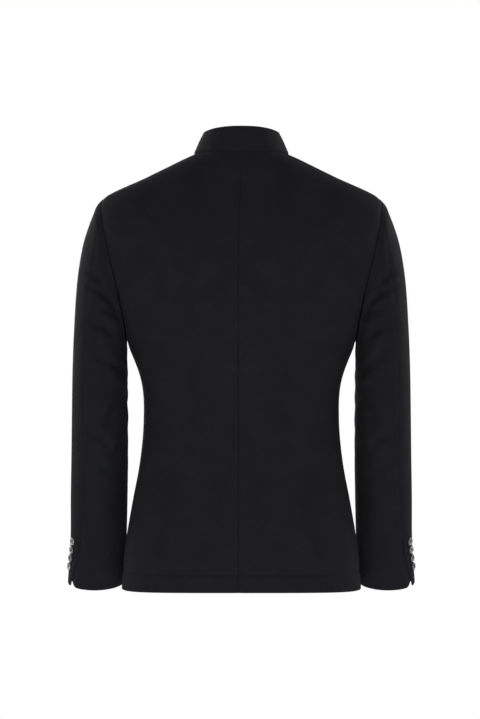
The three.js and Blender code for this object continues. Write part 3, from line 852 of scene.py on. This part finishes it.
def button_material():
    """Horn-look resin: pale and dark grey clouds stretched along one way, glossy with fine scratches."""
    material, shader = plain_material("horn_resin", (0.3, 0.3, 0.31), 0.3)
    shader.inputs["Coat Weight"].default_value = 0.3
    shader.inputs["Coat Roughness"].default_value = 0.12
    tree = material.node_tree
    place = tree.nodes.new("ShaderNodeTexCoord").outputs["Object"]
    clouds = add_noise(tree, place, (1, 1, 0.35), 260, 4)
    scratches = add_noise(tree, place, (1, 1, 1), 2400, 2)
    colour = tree.nodes.new("ShaderNodeValToRGB")
    tones = {0.32: (0.035, 0.035, 0.037), 0.5: (0.11, 0.11, 0.112), 0.66: (0.27, 0.27, 0.265)}
    for position, value in tones.items():
        stop = colour.color_ramp.elements.new(position)
        stop.color = (*value, 1)
    colour.color_ramp.elements.remove(colour.color_ramp.elements[0])
    colour.color_ramp.elements.remove(colour.color_ramp.elements[-1])
    rough = tree.nodes.new("ShaderNodeMapRange")
    rough.inputs["To Min"].default_value = 0.18
    rough.inputs["To Max"].default_value = 0.42
    tree.links.new(clouds, colour.inputs["Fac"])
    tree.links.new(colour.outputs["Color"], shader.inputs["Base Color"])
    tree.links.new(scratches, rough.inputs["Value"])
    tree.links.new(rough.outputs["Result"], shader.inputs["Roughness"])
    return material


def thread_material():
    """Dark polyester thread with a slight gloss, unevenly dyed along its length."""
    material, shader = plain_material("thread", (0.006, 0.006, 0.008), 0.65)
    shader.inputs["Specular IOR Level"].default_value = 0.06
    tree = material.node_tree
    place = tree.nodes.new("ShaderNodeTexCoord").outputs["Object"]
    colour = tree.nodes.new("ShaderNodeValToRGB")
    colour.color_ramp.elements[0].color = (0.004, 0.004, 0.006, 1)
    colour.color_ramp.elements[1].color = (0.011, 0.011, 0.014, 1)
    tree.links.new(add_noise(tree, place, (1, 1, 1), 1500, 1), colour.inputs["Fac"])
    tree.links.new(colour.outputs["Color"], shader.inputs["Base Color"])
    return material


horn_resin = button_material()
thread = thread_material()


def axes_on(normal):
    """Two directions along a surface and its normal, as the rows of a matrix."""
    level = unit(np.cross([0, 0, 1], normal))
    return np.stack([level, np.cross(normal, level), normal])


def button_mesh(radius, thick):
    """A disc revolved from a profile of distance and height, the face sunk by four holes round its middle:
    points in its own axes and faces. The last two points are the poles."""
    back = np.array([[0.3, 0.02], [0.6, 0.0], [0.8, 0.02], [0.92, 0.14], [0.985, 0.3]])
    rim = np.array([[1.0, 0.48], [0.99, 0.68], [0.95, 0.88], [0.9, 0.98], [0.85, 1.0]])
    inner_rim = np.array([[0.8, 0.95], [0.74, 0.84], [0.68, 0.76]])
    dish = np.stack([np.linspace(0.62, 0.06, 19), np.linspace(0.72, 0.64, 19)], 1)
    profile = np.concatenate([back, rim, inner_rim, dish]) * [radius, thick]
    around = np.linspace(0, 2 * np.pi, button_around, endpoint=False)
    x, y = profile[:, :1] * np.cos(around), profile[:, :1] * np.sin(around)
    z = profile[:, 1:] + 0 * x
    hole, away = 0.1 * radius, 0.17 * radius
    for side in (-1, 1):
        for end in (-1, 1):
            distance = np.hypot(x - side * away, y - end * away)
            z = z - 0.4 * thick * smooth(1.15 * hole, 0.8 * hole, distance) * (z > 0.55 * thick)
    rows = len(profile)
    poles = [[0, 0, 0.03 * thick], [0, 0, 0.63 * thick]]
    points = np.concatenate([np.stack([x, y, z], -1).reshape(-1, 3), poles])
    index = np.arange(rows * button_around).reshape(rows, button_around)
    ahead = np.roll(index, -1, 1)
    faces = np.stack([index[:-1], ahead[:-1], ahead[1:], index[1:]], -1).reshape(-1, 4).tolist()
    faces += [[rows * button_around, b, a] for a, b in zip(index[0], ahead[0])]
    faces += [[rows * button_around + 1, a, b] for a, b in zip(index[-1], ahead[-1])]
    return points, [[int(corner) for corner in face] for face in faces]


def tubes(starts, ends, ups, radius, bulge):
    """Short threads from starts to ends as one mesh: six-sided tubes whose middle rises by the bulge and
    whose ends taper into the cloth."""
    t = np.linspace(0, 1, 6)
    fat = radius * np.sqrt(np.clip(1 - (2 * t - 1) ** 4, 0.04, 1))
    along_it = unit(ends - starts)
    aside = np.cross(along_it, ups)
    turn = np.linspace(0, 2 * np.pi, 6, endpoint=False)
    centre = starts[:, None] + (ends - starts)[:, None] * t[:, None]
    centre = centre + ups[:, None] * (bulge * np.sin(np.pi * t))[:, None]
    ring = aside[:, None, None] * np.cos(turn)[:, None] + ups[:, None, None] * np.sin(turn)[:, None]
    points = centre[:, :, None] + ring * fat[:, None, None]
    index = np.arange(len(starts) * 36).reshape(len(starts), 6, 6)
    ahead = np.roll(index, -1, 2)
    faces = np.stack([index[:, :-1], index[:, 1:], ahead[:, 1:], ahead[:, :-1]], -1).reshape(-1, 4).tolist()
    faces += index[:, 0].tolist() + index[:, -1, ::-1].tolist()
    return points.reshape(-1, 3), faces


def mixed_object(name, points, faces, material):
    """An object of faces with different numbers of corners, riding on the jacket's one body."""
    mesh = bpy.data.meshes.new(name)
    mesh.from_pydata((points / 1000).tolist(), [], faces)
    mesh.materials.append(material)
    mesh.shade_smooth()
    made = bpy.data.objects.new(name, mesh)
    bpy.context.scene.collection.objects.link(made)
    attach(made, "root")
    return made


def sew_button(name, node, size, point, normal):
    """A button on the cloth, and the cross of thread through its holes."""
    axes = axes_on(normal)
    seat = point + normal * size["stand"]
    points, faces = button_mesh(size["radius"], size["thick"])
    made = mixed_object(name, points @ axes + seat, faces, horn_resin)
    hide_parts(node)
    away = 0.17 * size["radius"]
    holes = np.array([[-away, -away], [away, away], [-away, away], [away, -away]])
    ends = np.concatenate([holes, np.full((4, 1), 0.6 * size["thick"])], 1)
    layers = ends[0::2] + [0, 0, 0.1], ends[1::2] + [0, 0, 0.1]
    starts, stops = (layer @ axes + seat for layer in layers)
    fat, bulge = 0.075 * size["radius"], 0.09 * size["radius"]
    points, faces = tubes(starts, stops, np.array([normal, normal]), fat, bulge)
    mixed_object(f"{name}_thread", points, faces, thread)


def one_point(surface, *places):
    """The point and normal of a surface at one place, on the wearer's left."""
    point, normal = surface(*(np.array([float(value)]) for value in places[:2]), *places[2:])
    return point[0], normal[0]


for k, level in enumerate(front_button["levels"]):
    point, normal = one_point(front_surface, 180, level, 1)
    sew_button(f"front_button_{k + 1}_disc", f"button_front_{k + 1}", front_button, point, normal)

for name, side in both_sides:
    for k in range(cuff_button["count"]):
        step = cuff_button["first"] + k * cuff_button["pitch"] / step_length
        around = hind_seam(np.array([step]))[0] - cuff_button["ahead"]
        point, normal = one_point(sleeve_surface, around, step, name)
        point, normal = mirrored(point, side), mirrored(normal, side)
        disc, node = f"{name}_cuff_button_{k + 1}_disc", f"button_cuff_{name}_{k + 1}"
        sew_button(disc, node, cuff_button, point, normal)

# ---- buttonholes and stitches ---------------------------------------------------------------
# Dark thread: a worked buttonhole behind each front button, and even lines of stitches along the
# hem, the left front's edge, the collar's edge and the pockets, each lying half in the cloth.
stitch = {"pitch": 3.2, "length": 2.3, "radius": 0.22, "rise": 0.05, "lift": 0.02}
buttonhole = {"start": -4, "end": 17, "half": 1.1, "pitch": 0.75, "radius": 0.34}


def sew_line(name, side, line, ups):
    """A row of stitches along a line of points, mirrored for the right side: one thread for each pitch."""
    line, ups = mirrored(line, side), mirrored(ups, side)
    reached = np.concatenate([[0], np.cumsum(np.linalg.norm(np.diff(line, axis=0), axis=1))])
    first = np.arange(stitch["pitch"] / 2, reached[-1] - stitch["length"], stitch["pitch"])

    def at(place):
        return np.stack([np.interp(place, reached, line[:, k]) for k in range(3)], 1)

    up = unit(np.stack([np.interp(first, reached, ups[:, k]) for k in range(3)], 1))
    lift = up * stitch["lift"]
    starts, ends = at(first) + lift, at(first + stitch["length"]) + lift
    points, faces = tubes(starts, ends, up, stitch["radius"], stitch["rise"])
    mixed_object(name, points, faces, thread)


def hem_stitches(name, side):
    """The hem's stitches on one back and one front."""
    level = np.array([hem_depth / ring_rise])
    start = np.degrees(np.arcsin((side * back_seam_drift + 4) / along(body_rings, level)[0, 3]))
    turns = np.linspace(start, side_seam_turn - 1.5, 160)
    line, ups = back_surface(turns, 0 * turns + level, side)
    sew_line(f"{name}_back_hem_stitches", side, line, ups)
    turns = np.linspace(side_seam_turn + 1.5, front_turn(button_lap - 2, level)[0], 160)
    line, ups = front_surface(turns, 0 * turns + level, side)
    sew_line(f"{name}_front_hem_stitches", side, line, ups)


def pocket_stitches(name, side):
    """A pocket's stitches: down the rear edge, round the bottom and up the front edge."""
    points, normals, across, _ = pocket_surface(side)
    column = np.argmin(np.abs(across[0] - 5))
    row = np.argmin(np.abs(spaced((pocket["top"] - pocket["bottom"]) * ring_rise, cloth_pitch) - 5))
    path = [(slice(-3, row, -1), column), (row, slice(column, -column - 1)), (slice(row, -2), -column - 1)]
    line = np.concatenate([points[part] for part in path])
    ups = np.concatenate([normals[part] for part in path])
    sew_line(f"{name}_pocket_stitches", side, line, ups)


def collar_stitches():
    """The stitches along the collar's top edge."""
    height = np.array([1 - 5 / collar_height])
    end = front_turn(collar_half_gap, neck_level) - collar_corner["turn"] * 0.9
    turns = np.linspace(-end, end, 300)
    line, ups = collar_surface(turns, 0 * turns + height)
    sew_line("collar_edge_stitches", 1, line, ups)


def front_edge_stitches():
    """The stitches down the left front's lapped edge."""
    down = np.linspace(11.4, 0.75, 220)
    line, ups = front_surface(front_turn(-button_lap + 5, down), down, 1)
    sew_line("front_edge_stitches", 1, line, ups)


def work_buttonhole(name, level):
    """A buttonhole on the left front, in level threads packed side by side above and below its slit."""
    across = np.arange(buttonhole["start"], buttonhole["end"], buttonhole["pitch"])
    levels = 0 * across + level
    line, ups = front_surface(front_turn(-across, levels), levels, 1)
    drop = np.array([0, 0, buttonhole["half"]])
    starts = np.concatenate([line + 0.15 * drop, line - 0.15 * drop])
    ends = np.concatenate([line + drop, line - drop])
    points, faces = tubes(starts, ends, np.concatenate([ups, ups]), buttonhole["radius"], 0.12)
    mixed_object(name, points, faces, thread)


for name, side in both_sides:
    hem_stitches(name, side)
    pocket_stitches(name, side)
collar_stitches()
front_edge_stitches()
for k, level in enumerate(front_button["levels"]):
    work_buttonhole(f"buttonhole_{k + 1}", level)
